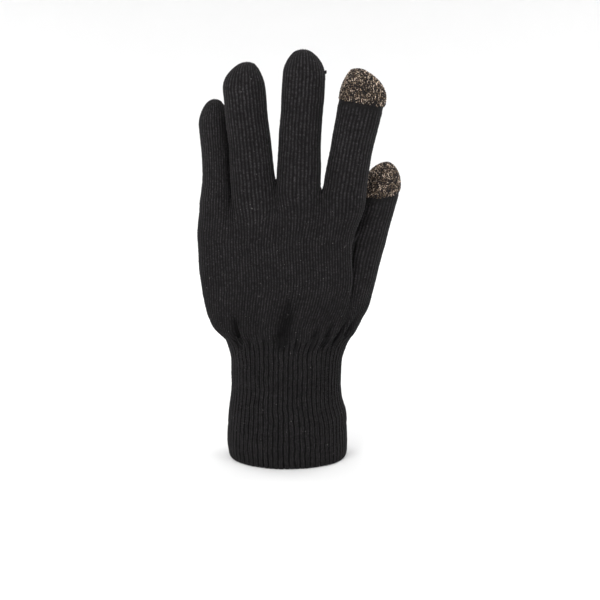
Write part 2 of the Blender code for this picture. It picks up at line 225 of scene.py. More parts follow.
BOWL_RADIUS, BOWL_BEND, BOWL_HEIGHT = 1.9, 0.9, 2.6
BOWL_STEPS, BOWL_SIDES = 12, 64
FLOOR_ALBEDO = 0.72
SKY_LIGHT = 0.36
LIGHT_AIM = (0, 0, 0.12)
# place, size and power
LIGHTS = (
    ((-0.75, -1.15, 0.85), 0.8, 17.0),
    ((0.95, -0.85, 0.7), 0.7, 6.5),
    ((0.0, 0.35, 1.45), 1.5, 17.0),
    ((-1.1, 0.9, 0.8), 0.8, 7.0),
    ((1.1, 0.9, 0.8), 0.8, 7.0),
)
CAMERA_LENS = 80
CAMERA_ELEVATION = math.radians(12.5)
CAMERA_DISTANCE = 0.775
CAMERA_TARGET = (0.0075, 0.0, 0.0939)


def lerp(low, high, share):
    return low + (high - low) * share


def smooth(value):
    value = np.clip(value, 0.0, 1.0)
    return value * value * (3 - 2 * value)


def column_way(column):
    """Across and through shares of a tube's column, from its back's left corner round."""
    angle = math.radians(-90 + (column - ACROSS / 2) * 360 / TUBE_RING)
    return math.cos(angle), math.sin(angle)


def dome(across, row, width, depth):
    """A tube's closing rows: half width, half depth, rise, the crown's extra height and share."""
    share = row / DOME_ROWS
    turn = DOME_TURN * share
    rise = DOME * math.sin(turn) ** DOME_POWER
    crown = (DOME - rise) * share**2 * (1 - across**2)
    width *= math.cos(turn) ** DOME_POWER
    depth *= max(0.0, math.cos(share * math.pi / 2)) ** DOME_POWER
    return width, depth, rise, crown, share


def table_at(table, height):
    """A row of sizes at a height, between the table's own rows."""
    columns = np.array(table)
    return [float(np.interp(height, columns[:, 0], column)) for column in columns.T[1:]]


class Finger:
    """A tube from its root row to its closed tip, as a function of column and row."""

    def __init__(self, name, left_crotch, right_crotch):
        self.name = name
        self.low, middle, self.high = [
            np.array(JOINTS[f"{name}_{zone}_bend"]["pos_m"]) / MM for zone in ("root", "middle", "end")
        ]
        self.root, self.middle, self.end = self.low[2], middle[2], self.high[2]
        # cuts lie between the joints
        lower_cut = self.middle - MIDDLE_REACH[name] - CUT_MARGIN + MIDDLE_RISE
        self.cuts = lower_cut, (self.middle + self.end) / 2
        self.up = (self.high - self.low) / np.linalg.norm(self.high - self.low)
        self.widths, self.depths, self.tip, self.skew = FINGER_SIZES[name]
        self.waist = FINGER_WAISTS[name]
        self.crotches = left_crotch, right_crotch
        self.base = (left_crotch + right_crotch) / 2
        self.dome = self.tip - DOME
        self.rows = round((self.dome - self.base) / ROW)

    def drawn_in(self, height):
        share = np.clip((height - self.base) / (self.dome - self.base), 0, 1)
        return self.waist / 2 * math.sin(share * math.pi)

    def centre(self, height):
        share = (height - self.low[2]) / (self.high[2] - self.low[2])
        return lerp(self.low, self.high, share) + (self.drawn_in(height), 0, 0)

    def sizes(self, height):
        share = (height - self.base) / (self.tip - self.base)
        return lerp(*self.widths, share) - abs(self.drawn_in(height)), lerp(*self.depths, share)

    def level(self, row):
        return lerp(self.base, self.dome, row / self.rows)

    def zone(self, row):
        height = self.level(row)
        part = sum(height > cut for cut in self.cuts)
        return self.name + ("_lower", "_middle", "_end")[part]

    def root_height(self, column):
        """The root row runs from one crotch to the other, a little higher on the webs."""
        column = column % TUBE_RING
        left, right = self.crotches
        if column <= ACROSS:
            return lerp(left, right, column / ACROSS)
        if column < ACROSS + ROUND:
            return right + WEB_RISE
        if column <= 2 * ACROSS + ROUND:
            return lerp(right, left, (column - ACROSS - ROUND) / ACROSS)
        return left + WEB_RISE

    def place(self, column, row):
        across, through = column_way(column)
        if row <= self.rows:
            height = self.level(row)
            width, depth = self.sizes(height)
            crown = (self.root_height(column) - self.base) * (1 - smooth(row / SETTLE_ROWS))
            skew = 0.0
        else:
            width, depth, rise, crown, share = dome(across, row - self.rows, *self.sizes(self.dome))
            height = self.dome + rise
            skew = self.skew * share**2
        x, y, z = self.centre(height)
        # rows start level at the crotches and soon lie square to the finger
        tilt = math.asin(self.up[0]) * smooth(row / SETTLE_ROWS)
        beside = width * across + skew
        x += beside * math.cos(tilt)
        z += crown - beside * math.sin(tilt)
        return np.array((x, y + depth * through, z))


class Thumb:
    """The same kind of tube along its own leaning axis, from the crotch to its tip."""

    def __init__(self):
        swing, bend = JOINTS["thumb_root_swing"], JOINTS["thumb_end_bend"]
        root, knuckle = [np.array(joint["pos_m"]) / MM for joint in (swing, bend)]
        self.up = (knuckle - root) / np.linalg.norm(knuckle - root)
        self.side = -np.array(bend["axis"])
        self.bend = np.cross(self.up, self.side)
        self.start = root - self.up * THUMB_SWING_ALONG
        self.dome = THUMB_LENGTH - DOME
        self.rows = round((self.dome - THUMB_CROTCH) / ROW)

    def sizes(self, along):
        share = along / THUMB_LENGTH
        return lerp(*THUMB_SIZES[0], share), lerp(*THUMB_SIZES[1], share)

    def level(self, row):
        return lerp(THUMB_CROTCH, self.dome, row / self.rows)

    def zone(self, row):
        return "thumb_lower" if self.level(row) < THUMB_CUT else "thumb_end"

    def axis_at(self, height):
        return self.start + self.up * (height - self.start[2]) / self.up[2]

    def at(self, column, along, width, depth, shift=0.0):
        across, through = column_way(column)
        return (
            self.start
            + self.up * along
            + self.side * (width * across + shift)
            + self.bend * depth * through
        )

    def place(self, column, row):
        if row <= self.rows:
            along = self.level(row)
            return self.at(column, along, *self.sizes(along))
        across = column_way(column)[0]
        width, depth, rise, crown, share = dome(across, row - self.rows, *self.sizes(self.dome))
        return self.at(column, self.dome + rise + crown, width, depth, THUMB_SKEW * share**2)


FINGERS = [
    Finger(name, left, right)
    for name, left, right in zip(FINGER_SIZES, CROTCHES, CROTCHES[1:])
]
MIDDLE, INDEX = FINGERS[2:]
THUMB = Thumb()
INDEX_CAP_ROW = (CAP_HEIGHT - INDEX.base) / (INDEX.dome - INDEX.base) * INDEX.rows
THUMB_CAP_ROW = (THUMB_CAP - THUMB_CROTCH) / (THUMB.dome - THUMB_CROTCH) * THUMB.rows


def spread_columns(outline, across, rightmost):
    """Points at equal steps along a closed outline, with its two side middles at the far left and
    at the point furthest along the given direction."""
    left = int(np.argmin(outline[:, 0]))
    outline = np.roll(outline, -left, axis=0)
    right = int(np.argmax(outline @ np.array(rightmost)))
    halves = outline[: right + 1], np.vstack([outline[right:], outline[:1]])
    per_half = across + ROUND
    spread = []
    for half in halves:
        steps = np.r_[0, np.cumsum(np.linalg.norm(np.diff(half, axis=0), axis=1))]
        wanted = (np.arange(per_half) + ROUND / 2) / per_half * steps[-1]
        spread.append([[np.interp(at, steps, axis) for axis in half.T] for at in wanted])
    # each half starts in the middle of a side, so its first points complete that side
    return np.array(spread[0] + spread[1])


def oval(centre, width, depth, fullness):
    across, through = np.cos(ANGLES), np.sin(ANGLES)
    power = 2 / fullness
    x = centre + width * np.sign(across) * np.abs(across) ** power
    return np.stack([x, depth * np.sign(through) * np.abs(through) ** power], axis=1)


def palm_outline(height):
    left, right, depth = table_at(PALM, height)
    return oval((left + right) / 2, (right - left) / 2, depth, PALM_FULLNESS)


def palm_columns(height):
    return spread_columns(palm_outline(height), PALM_ACROSS, (1, 0))


def fallen(height, change):
    """0 above a change's height, and 1 where it is complete below."""
    top, drop = change
    return float(smooth((top - height) / drop))


def mitt_columns(height):
    """The palm and the thumb's root in one outline, which becomes the cuff's oval lower down."""
    heart = np.array(MITT_HEART)
    rays = palm_outline(height) - heart
    reach = np.linalg.norm(rays, axis=1)
    ways = rays / reach[:, None]
    thumb = THUMB.axis_at(height)[:2] - heart
    along = ways @ thumb
    beside2 = thumb @ thumb - along**2
    radius = lerp(THUMB_BULGE, THUMB_BULGE_LOW, fallen(height, THUMB_FADE))
    inside = radius**2 - beside2
    far = np.where((inside > 0) & (along > 0), along + np.sqrt(np.maximum(inside, 0)), 0)
    joined = (reach**BULGE_POWER + far**BULGE_POWER) ** (1 / BULGE_POWER)
    joined = np.r_[joined[-BULGE_SPREAD:], joined, joined[:BULGE_SPREAD]]
    window = 2 * BULGE_SPREAD + 1
    joined = np.convolve(joined, np.ones(window) / window, "valid")
    lean = lerp(SIDE_LEAN, 0.0, fallen(height, SIDE_TURN))
    columns = spread_columns(heart + ways * joined[:, None], MITT_ACROSS, (1, lean))
    return lerp(columns, cuff_columns(height), fallen(height, INTO_CUFF))


def cuff_columns(height, inset=0.0):
    middle, width, depth = table_at(CUFF, height)
    return spread_columns(oval(middle, width - inset, depth - inset, CUFF_FULLNESS), MITT_ACROSS, (1, 0))


def with_height(columns, heights):
    return np.column_stack([columns, np.broadcast_to(heights, len(columns))])


class Cage:
    """Points and quads with wale and course counts, and the piece that each face belongs to."""

    def __init__(self):
        self.points, self.faces, self.counts, self.zones = [], [], [], []

    def add(self, points):
        first = len(self.points)
        self.points.extend(points)
        return list(range(first, first + len(points)))

    def face(self, corners, counts, zone):
        self.faces.append(corners)
        self.counts.append(counts)
        self.zones.append(zone)

    def band(self, low, high, course, zone):
        count = len(low)
        for column in range(count):
            following = (column + 1) % count
            self.face(
                (low[column], low[following], high[following], high[column]),
                [(column + across, course + up) for across, up in ((0, 0), (1, 0), (1, 1), (0, 1))],
                zone,
            )


def grow_tube(cage, tube, root):
    """Adds a tube's rows above its root ring, and closes its tip like a zip."""
    last = tube.rows + DOME_ROWS
    low = root
    for row in range(1, last):
        high = cage.add([tube.place(column, row) for column in range(TUBE_RING)])
        cage.band(low, high, ROOT_COURSE + row - 1, tube.zone(row - 0.5))
        low = high
    seam = cage.add([tube.place(column, last) for column in range(ACROSS + 1)])
    inward = (tube.place(0, last) - tube.place(0, last - 1)) * SEAM_END_DROP
    ends = cage.add([tube.place(ACROSS + 1, last) - inward, tube.place(-1, last) - inward])
    high = seam + ends[:1] + seam[::-1] + ends[1:]
    cage.band(low, high, ROOT_COURSE + last - 1, tube.zone(last - 0.5))


def meet(left, corner, right):
    """Brings a ring's side, from a corner column on, and a tube's left side to the middle of both."""
    for step in range(ROUND + 1):
        a, b = corner + step, (TUBE_RING - step) % TUBE_RING
        middle = (left[a] + right[b]) / 2
        left[a], right[b] = middle, middle


def ring_beside(cage, ring, neighbour, corner):
    """A tube's root ring, with the side of a neighbour from a corner column on as its left side."""
    root = []
    for column in range(TUBE_RING):
        step = (TUBE_RING - column) % TUBE_RING
        if neighbour and step <= ROUND:
            root.append(neighbour[corner + step])
        else:
            root.append(cage.add([ring[column]])[0])
    return root


def add_fingers(cage):
    """The four fingers, and the ring round their roots from the little finger's back left corner."""
    rings = [[finger.place(column, 0) for column in range(TUBE_RING)] for finger in FINGERS]
    for left, right in zip(rings, rings[1:]):
        meet(left, ACROSS, right)
    roots = []
    for ring in rings:
        roots.append(ring_beside(cage, ring, roots[-1] if roots else None, ACROSS))
    for finger, root in zip(FINGERS, roots):
        grow_tube(cage, finger, root)
    pinky, index = roots[0], roots[3]
    front = ACROSS + ROUND
    chain = pinky[:1]
    for root in roots:
        chain += root[1 : ACROSS + 1]
    chain += index[ACROSS + 1 : front + 1]
    for root in reversed(roots):
        chain += root[front + 1 : front + ACROSS + 1]
    return chain + pinky[front + ACROSS + 1 :]


def add_upper_palm(cage, high, crotch_height):
    """The palm down to the thumb's crotch, and the thumb: the ring below both, and its course."""
    chain = np.array([cage.points[index] for index in high])
    rows = round((np.mean(chain[:, 2]) - crotch_height) / ROW)
    for row in range(1, rows + 1):
        heights = lerp(chain[:, 2], crotch_height, row / rows)
        flat = np.array([palm_columns(level)[index] for index, level in enumerate(heights)])
        blend = float(smooth(row / PALM_SETTLE))
        points = with_height(lerp(chain[:, :2], flat, blend), heights)
        if row < rows:
            low = cage.add(points)
            cage.band(low, high, ROOT_COURSE - row, "palm_upper")
            high = low
    # the thumb's inner side is the palm's outer side
    thumb = [THUMB.place(column, 0) for column in range(TUBE_RING)]
    meet(points, PALM_ACROSS, thumb)
    low = cage.add(points)
    cage.band(low, high, ROOT_COURSE - rows, "palm_upper")
    root = ring_beside(cage, thumb, low, PALM_ACROSS)
    grow_tube(cage, THUMB, root)
    outer = root[1 : TUBE_RING - ROUND + 1]
    return low[: PALM_ACROSS + 1] + outer + low[PALM_ACROSS + ROUND + 1 :], ROOT_COURSE - rows


def add_lower_palm(cage, high, course, crotch_height):
    """The palm with the thumb's root, down to the cuff: its last ring, and its course."""
    rows = round((crotch_height - CUFF_TOP) / ROW)
    last_tube = PALM_ACROSS + TUBE_RING - ROUND
    for row in range(1, rows + 1):
        level = lerp(crotch_height, CUFF_TOP, row / rows)
        whole = with_height(mitt_columns(level), level)
        palm = with_height(palm_columns(level), level)
        along = THUMB_CROTCH - (crotch_height - level) / THUMB.up[2]
        sizes = THUMB.sizes(along)
        tube = [THUMB.at(column, along, *sizes) for column in range(1, TUBE_RING - ROUND + 1)]
        chain = np.vstack([palm[: PALM_ACROSS + 1], tube, palm[PALM_ACROSS + ROUND + 1 :]])
        seam = THUMB.at(0, along, *sizes)
        chain[PALM_ACROSS] = (chain[PALM_ACROSS] + seam) / 2 + CREASE_SINK
        chain[last_tube] = (chain[last_tube] + palm[PALM_ACROSS + ROUND]) / 2
        low = cage.add(lerp(chain, whole, float(smooth(row / CREASE_ROWS))))
        cage.band(low, high, course - row, "palm_lower" if row <= rows / 2 else "palm_gathers")
        high = low
    return high, course - rows


def add_cuff(cage, high, course):
    """The cuff, and the hem's turn to the inside."""
    steps = round(CUFF_TOP / ROW)
    levels = [(lerp(CUFF_TOP, CUFF_FOLD, row / steps), 0.0) for row in range(1, steps + 1)]
    levels += HEM_TURN
    for row, (level, inset) in enumerate(levels, 1):
        low = cage.add(with_height(cuff_columns(level, inset), level))
        cage.band(low, high, course - row, "cuff_upper" if row <= len(levels) / 2 else "cuff_lower")
        high = low


def build_glove():
    """The cage of the whole glove."""
    cage = Cage()
    crotch_height = THUMB.at(0, THUMB_CROTCH, 0, 0)[2] + CROTCH_RISE
    ring = add_fingers(cage)
    ring, course = add_upper_palm(cage, ring, crotch_height)
    ring, course = add_lower_palm(cage, ring, course, crotch_height)
    add_cuff(cage, ring, course)
    return cage


def build_lining():
    """The cuff's inner face, seen through its mouth."""
    cage = Cage()
    high = None
    for row in range(LINING_ROWS + 1):
        level = lerp(LINING_FROM, CUFF_TOP + LINING_ABOVE_CUFF, row / LINING_ROWS)
        if level < CUFF_TOP:
            ring = cuff_columns(level, LINING_INSET)
        else:
            ring = mitt_columns(level) * LINING_SHARE
        low = cage.add(with_height(ring, level))
        if high is not None:
            cage.band(low, high, row, "cuff_inside")
        high = low
    return cage


def subdivided(cage, levels):
    """The cage as a dense mesh: points, quads, wale and course of each corner, piece of each quad."""
    mesh = bpy.data.meshes.new("cage")
    mesh.from_pydata([tuple(point * MM) for point in np.array(cage.points)], [], cage.faces)
    names = sorted(set(cage.zones))
    zone = mesh.attributes.new("zone", "INT", "FACE")
    zone.data.foreach_set("value", [names.index(name) for name in cage.zones])
    layer = mesh.uv_layers.new(name="count")
    flat = [value for counts in cage.counts for pair in counts for value in pair]
    layer.data.foreach_set("uv", np.array(flat, np.float32))
    holder = bpy.data.objects.new("cage", mesh)
    bpy.context.scene.collection.objects.link(holder)
    subsurf = holder.modifiers.new("subdivision", "SUBSURF")
    subsurf.levels = subsurf.render_levels = levels
    subsurf.uv_smooth = "NONE"
    graph = bpy.context.evaluated_depsgraph_get()
    dense = bpy.data.meshes.new_from_object(holder.evaluated_get(graph), depsgraph=graph)
    bpy.data.objects.remove(holder)
    bpy.data.meshes.remove(mesh)
    return dense, names


def read(collection, key, width, dtype=np.float64):
    values = np.empty(len(collection) * width, dtype)
    collection.foreach_get(key, values)
    return values.reshape(-1, width) if width > 1 else values


def noise(points, scale, seed):
    """Smooth waves in space that never repeat visibly: a sum of sines along seeded directions."""
    source = np.random.RandomState(seed)
    total = np.zeros(len(points))
    for _ in range(9):
        way = source.normal(size=3)
        way *= 2 * math.pi / (scale * np.linalg.norm(way)) * source.uniform(0.6, 1.7)
        total += np.sin(points @ way + source.uniform(0, 6.28))
    return total / 3


def gathers(points, normals):
    """Soft folds, as a depth in millimetres."""
    depth = np.zeros(len(points))
    flat = points[:, [0, 2]]
    for side, folds in ((-1, BACK_GATHERS), (1, FRONT_GATHERS)):
        facing = smooth(side * normals[:, 1] * 2.0)
        for start, end, width, deep in folds:
            start = np.array(start, float)
            way = np.array(end) - start
            share = np.clip((flat - start) @ way / (way @ way), 0, 1)
            away = np.linalg.norm(flat - (start + share[:, None] * way), axis=1)
            profile = smooth(share / 0.5) * (1 - share**3)
            depth += deep * profile * np.exp(-((away / width) ** 2)) * facing
    return depth


def by_cell(wale, course, seed):
    """A repeatable number from -1 to 1 for each stitch."""
    mix = np.sin(np.floor(wale) * 12.9898 + np.floor(course) * 78.233 + seed) * 43758.5453
    return (mix - np.floor(mix)) * 2 - 1


def relief(points, wale, course, rib, ribbed):
    """How far the cloth stands out, in millimetres, and its tone from 0 to 1, with painted shade in its
    hollows and painted highlight on its tops.
    """
    slow = noise(points, 26, 3)
    drift = 0.05 * noise(points, 15, 5) + 0.05 * noise(points, 5, 8)
    # plain knit: a ridge for each wale, with leaning stitches along it that aren't quite alike
    across = wale + drift
    ridge = 0.5 - 0.5 * np.cos(2 * math.pi * across)
    lean = np.abs((across % 1.0) * 2 - 1)
    along = course + PLAIN_LEAN * lean
    stitch = 0.5 + 0.5 * np.cos(2 * math.pi * along)
    odd = by_cell(across, along + 0.5, 1) * ridge * stitch
    plain = PLAIN_RIDGE * ridge + PLAIN_STITCH * stitch * (0.35 + 0.65 * ridge) + PLAIN_ODD * odd
    # painted light and shade: the tone is lighter on the ridges and stitches and darker between them;
    # odd adds real unevenness from stitch to stitch
    plain_tone_and_shade = 0.04 + 0.5 * ridge + 0.2 * ridge * stitch + 0.5 * odd
    # ribs: two wales side by side, with a deep narrow valley between one pair and the next
    wave = 0.045 * np.sin(points[:, 2] * 0.16 + 2.0 * slow) + 0.05 * noise(points, 11, 11)
    pair = (rib + wave) % 1.0
    bridge = (0.18 + 0.22 * np.cos(2 * math.pi * (course + 0.5))) * (1 + 0.8 * noise(points, 4, 17))
    mound = lerp(np.sin(math.pi * pair) ** 0.6, 1.0, np.clip(bridge, 0, 0.8))
    twin = 0.5 - 0.5 * np.cos(4 * math.pi * pair)
    slant = np.abs((2 * pair) % 1.0 * 2 - 1)
    along = course + RIB_LEAN * slant
    purl = 0.5 + 0.5 * np.cos(2 * math.pi * along)
    odd = by_cell(2 * (rib + wave), along + 0.5, 2) * twin * purl
    ribs = RIB_MOUND * mound + RIB_TWIN * twin + RIB_PURL * purl * twin + RIB_ODD * odd
    # painted light and shade: the ribs' tone is lighter on mounds, wales and stitches and darker in the
    # valleys; odd adds real unevenness
    ribs_tone_and_shade = 0.34 * mound**3 + 0.32 * twin * mound + 0.16 * purl * twin + 0.42 * odd - 0.04
    height = lerp(plain, ribs - RIB_SINK, ribbed) + SLOW_WAVE * slow
    return height, lerp(plain_tone_and_shade, ribs_tone_and_shade, ribbed)


def knit(dense, names):
    """Raises the dense mesh into knit, and returns what its pieces are cut from."""
    points = read(dense.vertices, "co", 3) / MM
    normals = read(dense.vertex_normals, "vector", 3)
    quads = read(dense.loops, "vertex_index", 1, np.int32).reshape(-1, 4)
    counts = read(dense.uv_layers["count"].data, "uv", 2).reshape(-1, 4, 2)
    zones = read(dense.attributes["zone"].data, "value", 1, np.int32)
    per_point = np.zeros((len(points), 2))
    per_point[quads.reshape(-1)] = counts.reshape(-1, 2)
    column, row = per_point.T
    owner = zones_of_points(quads, zones, names, len(points))
    low_cloth = np.isin(owner, LOW_CLOTH)
    edge = RIB_TOP + RIB_EDGE_DRIFT * noise(points, 14, 21)
    ribbed = np.where(low_cloth, smooth((edge - points[:, 2]) / RIB_FADE), 0.0)
    raised, tone = relief(
        points,
        column * WALES_PER_COLUMN,
        row * COURSES_PER_ROW,
        column * RIBS_PER_COLUMN,
        ribbed,
    )
    folds = gathers(points, normals)
    # painted shade in the folds
    shade = 1 - FOLD_SHADE * np.minimum(folds, FOLD_SHADE_DEPTH)
    tone = tone * shade - FOLD_EDGE_SHADE * np.minimum(folds, 1)
    # painted shade: darker towards the bottom
    tone *= lerp(LOW_PAINTED_SHADE, 1.0, smooth((points[:, 2] - PAINTED_SHADE_HEIGHT) / PAINTED_SHADE_RISE))
    hem_line = np.exp(-(((points[:, 2] - HEM_LINE) / HEM_LINE_WIDTH) ** 2)) * (owner == "cuff_lower")
    raised -= HEM_LINE_DEPTH * hem_line
    # painted shade along the hem line's groove
    tone *= 1 - HEM_LINE_SHADE * hem_line
    capped, join = cap_share(points, owner)
    tone = lerp(tone, JOIN_TONE, JOIN_TONE_SHARE * join)
    raised = lerp(raised, JOIN_RAISED, JOIN_RAISED_SHARE * join)
    raised = lerp(raised, CAP_SINK, capped) - folds
    dense.vertices.foreach_set("co", ((points + normals * raised[:, None]) * MM).reshape(-1))
    dense.update()
    return {
        "points": read(dense.vertices, "co", 3),
        "normals": read(dense.vertex_normals, "vector", 3),
        "quads": quads,
        "counts": counts,
        "zones": zones,
        "names": names,
        "tone": tone,
    }


def zones_of_points(quads, zones, names, count):
    owner = np.zeros(count, np.int32)
    owner[quads.reshape(-1)] = np.repeat(zones, 4)
    return np.array(names)[owner]


def cap_share(points, owner):
    """1 where conductive loops cover the cloth, on the index finger and the thumb, and 1 where the
    cloth just below them is double and plain."""
    share, join = np.zeros((2, len(points)))
    for tube, row, slope, zone in (
        (INDEX, INDEX_CAP_ROW, 0.0, "index_end"),
        (THUMB, THUMB_CAP_ROW, THUMB_CAP_SLOPE, "thumb_end"),
    ):
        left, right = tube.place(-1, row), tube.place(ACROSS + 1, row)
        away = points - (left + right) / 2
        side = (right - left) / np.linalg.norm(right - left)
        across = away @ side / np.linalg.norm(right - left) * 2
        along = away @ tube.up - slope * across
        share = np.maximum(share, np.where(owner == zone, smooth(along / CAP_FADE), 0))
        below = smooth((along + JOIN_WIDTH) / JOIN_FADE) * (along < CAP_FADE)
        join = np.maximum(join, np.where(owner == zone, below, 0))
    return share, join


def cut_piece(data, zone, name, material):
    """One piece of the cloth as its own object, with the whole cloth's normals along its edges."""
    chosen = data["zones"] == data["names"].index(zone)
    quads = data["quads"][chosen]
    used, local = np.unique(quads, return_inverse=True)
    local = local.reshape(-1, 4)
    mesh = bpy.data.meshes.new(name)
    mesh.vertices.add(len(used))
    mesh.vertices.foreach_set("co", data["points"][used].reshape(-1))
    mesh.loops.add(local.size)
    mesh.loops.foreach_set("vertex_index", local.reshape(-1).astype(np.int32))
    mesh.polygons.add(len(local))
    mesh.polygons.foreach_set("loop_start", np.arange(0, local.size, 4, dtype=np.int32))
    mesh.update(calc_edges=True)
    counts = data["counts"][chosen].reshape(-1, 2)
    layer = mesh.uv_layers.new(name="knit")
    layer.data.foreach_set("uv", (counts * (WALES_PER_COLUMN, COURSES_PER_ROW)).reshape(-1))
    low, high = counts.min(axis=0), counts.max(axis=0)
    baked = mesh.uv_layers.new(name="OFBake")
    baked.data.foreach_set("uv", (0.01 + 0.98 * (counts - low) / (high - low)).reshape(-1))
    tone = mesh.attributes.new("tone", "FLOAT", "POINT")
    tone.data.foreach_set("value", data["tone"][used].astype(np.float32))
    mesh.shade_smooth()
    mesh.normals_split_custom_set_from_vertices(data["normals"][used].tolist())
    mesh.materials.append(material)
    piece = bpy.data.objects.new(name, mesh)
    bpy.context.scene.collection.objects.link(piece)
    return piece


def new_material(name):
    made = bpy.data.materials.new(name)
    made.use_nodes = True
    return made, made.node_tree.nodes, made.node_tree.links, made.node_tree.nodes["Principled BSDF"]


def scaled_noise(nodes, links, scale, detail=2.0, upright=1.0):
    """Noise on the object's own coordinates, drawn out along Z by the upright factor."""
    where = nodes.new("ShaderNodeTexCoord")
    stretch = nodes.new("ShaderNodeMapping")
    stretch.inputs["Scale"].default_value = (1, 1, 1 / upright)
    texture = nodes.new("ShaderNodeTexNoise")
    texture.inputs["Scale"].default_value = scale
    texture.inputs["Detail"].default_value = detail
    links.new(where.outputs["Object"], stretch.inputs["Vector"])
    links.new(stretch.outputs["Vector"], texture.inputs["Vector"])
    return texture.outputs["Fac"]


def ramp(nodes, links, source, stops):
    made = nodes.new("ShaderNodeValToRGB")
    links.new(source, made.inputs["Fac"])
    while len(made.color_ramp.elements) < len(stops):
        made.color_ramp.elements.new(0.5)
    for element, (place, colour) in zip(made.color_ramp.elements, stops):
        element.position = place
        element.color = (*colour, 1)
    return made.outputs["Color"]


def mixed(nodes, links, mode, share, a, b):
    made = nodes.new("ShaderNodeMix")
    made.data_type = "RGBA"
    made.blend_type = mode
    made.inputs["Factor"].default_value = share
    links.new(a, made.inputs["A"])
    links.new(b, made.inputs["B"])
    return made.outputs["Result"]


def bump(nodes, links, shader, height, strength, distance):
    made = nodes.new("ShaderNodeBump")
    made.inputs["Strength"].default_value = strength
    made.inputs["Distance"].default_value = distance
    links.new(height, made.inputs["Height"])
    links.new(made.outputs["Normal"], shader.inputs["Normal"])


def yarn_material():
    """Charcoal yarn: painted shade between the wales and painted highlight on their hairy tops, with
    specks of lint.
    """
    made, nodes, links, shader = new_material("charcoal_knit")
    tone = nodes.new("ShaderNodeAttribute")
    tone.attribute_name = "tone"
    base = ramp(nodes, links, tone.outputs["Fac"], ((0.0, DARK_YARN_AND_SHADE), (1.0, LIGHT_YARN_AND_HIGHLIGHT)))
    fleck = ramp(
        nodes, links, scaled_noise(nodes, links, 1900, 3), ((0.34, (0.4,) * 3), (0.68, (1.6,) * 3))
    )
    cloud = ramp(
        nodes, links, scaled_noise(nodes, links, 55, 3), ((0.3, (0.86,) * 3), (0.7, (1.14,) * 3))
    )
    colour = mixed(nodes, links, "MULTIPLY", 1.0, base, fleck)
    colour = mixed(nodes, links, "MULTIPLY", 1.0, colour, cloud)
    lint = ramp(nodes, links, scaled_noise(nodes, links, 1050, 1), ((0.765, (0,) * 3), (0.8, LINT)))
    links.new(mixed(nodes, links, "ADD", 1.0, colour, lint), shader.inputs["Base Color"])
    shader.inputs["Roughness"].default_value = 0.92
    shader.inputs["Specular IOR Level"].default_value = 0.12
    shader.inputs["Sheen Weight"].default_value = 0.1
    shader.inputs["Sheen Roughness"].default_value = 0.35
    shader.inputs["Sheen Tint"].default_value = (0.8, 0.78, 0.8, 1)
    bump(nodes, links, shader, scaled_noise(nodes, links, 2600, 2), 0.45, 0.00025)
    return made


def copper_material():
    """Thin metal-coated yarn, between rose gold and golden brown, with painted glints."""
    made, nodes, links, shader = new_material("copper_yarn")
    glint = scaled_noise(nodes, links, 1350, 2, upright=4.5)
    colour = ramp(nodes, links, glint, COPPER_GLINTS)
    links.new(colour, shader.inputs["Base Color"])
    shader.inputs["Metallic"].default_value = 0.6
    shader.inputs["Roughness"].default_value = 0.45
    bump(nodes, links, shader, scaled_noise(nodes, links, 5200, 2), 0.5, 0.0001)
    return made


def elastic_material():
    made, nodes, links, shader = new_material("covered_elastic")
    colour = ramp(
        nodes, links, scaled_noise(nodes, links, 900), ((0.3, (0.012,) * 3), (0.7, (0.04,) * 3))
    )
    links.new(colour, shader.inputs["Base Color"])
    shader.inputs["Roughness"].default_value = 0.7
    bump(nodes, links, shader, scaled_noise(nodes, links, 3000), 0.4, 0.0001)
    return made


def sweep(paths, radius, name, material, sides=5, closed=True):
    """Round yarn along paths of points, as one mesh."""
    points, quads = [], []
    turns = 2 * math.pi * np.arange(sides) / sides
    for path in paths:
        ahead = np.roll(path, -1, axis=0) - np.roll(path, 1, axis=0)
        if not closed:
            ahead[0], ahead[-1] = path[1] - path[0], path[-1] - path[-2]
        ahead /= np.linalg.norm(ahead, axis=1)[:, None]
        out = path - path.mean(axis=0)
        out -= ahead * np.sum(out * ahead, axis=1)[:, None]
        out /= np.linalg.norm(out, axis=1)[:, None]
        beside = np.cross(ahead, out)
        first = sum(len(part) for part in points)
        ring = out[:, None] * np.cos(turns)[:, None] + beside[:, None] * np.sin(turns)[:, None]
        points.append((path[:, None] + ring * radius).reshape(-1, 3))
        count = len(path)
        for step in range(count if closed else count - 1):
            following = (step + 1) % count
            for side in range(sides):
                beyond = (side + 1) % sides
                near, far = first + step * sides, first + following * sides
                quads.append([near + side, near + beyond, far + beyond, far + side])
        if not closed:
            quads.append([first + side for side in reversed(range(sides))])
            quads.append([first + (count - 1) * sides + side for side in range(sides)])
    mesh = bpy.data.meshes.new(name)
    mesh.from_pydata((np.vstack(points) * MM).tolist(), [], quads)
    tone = mesh.attributes.new("tone", "FLOAT", "POINT")
    tone.data.foreach_set("value", np.full(len(mesh.vertices), YARN_TONE, np.float32))
    mesh.shade_smooth()
    mesh.materials.append(material)
    piece = bpy.data.objects.new(name, mesh)
    bpy.context.scene.collection.objects.link(piece)
    return piece


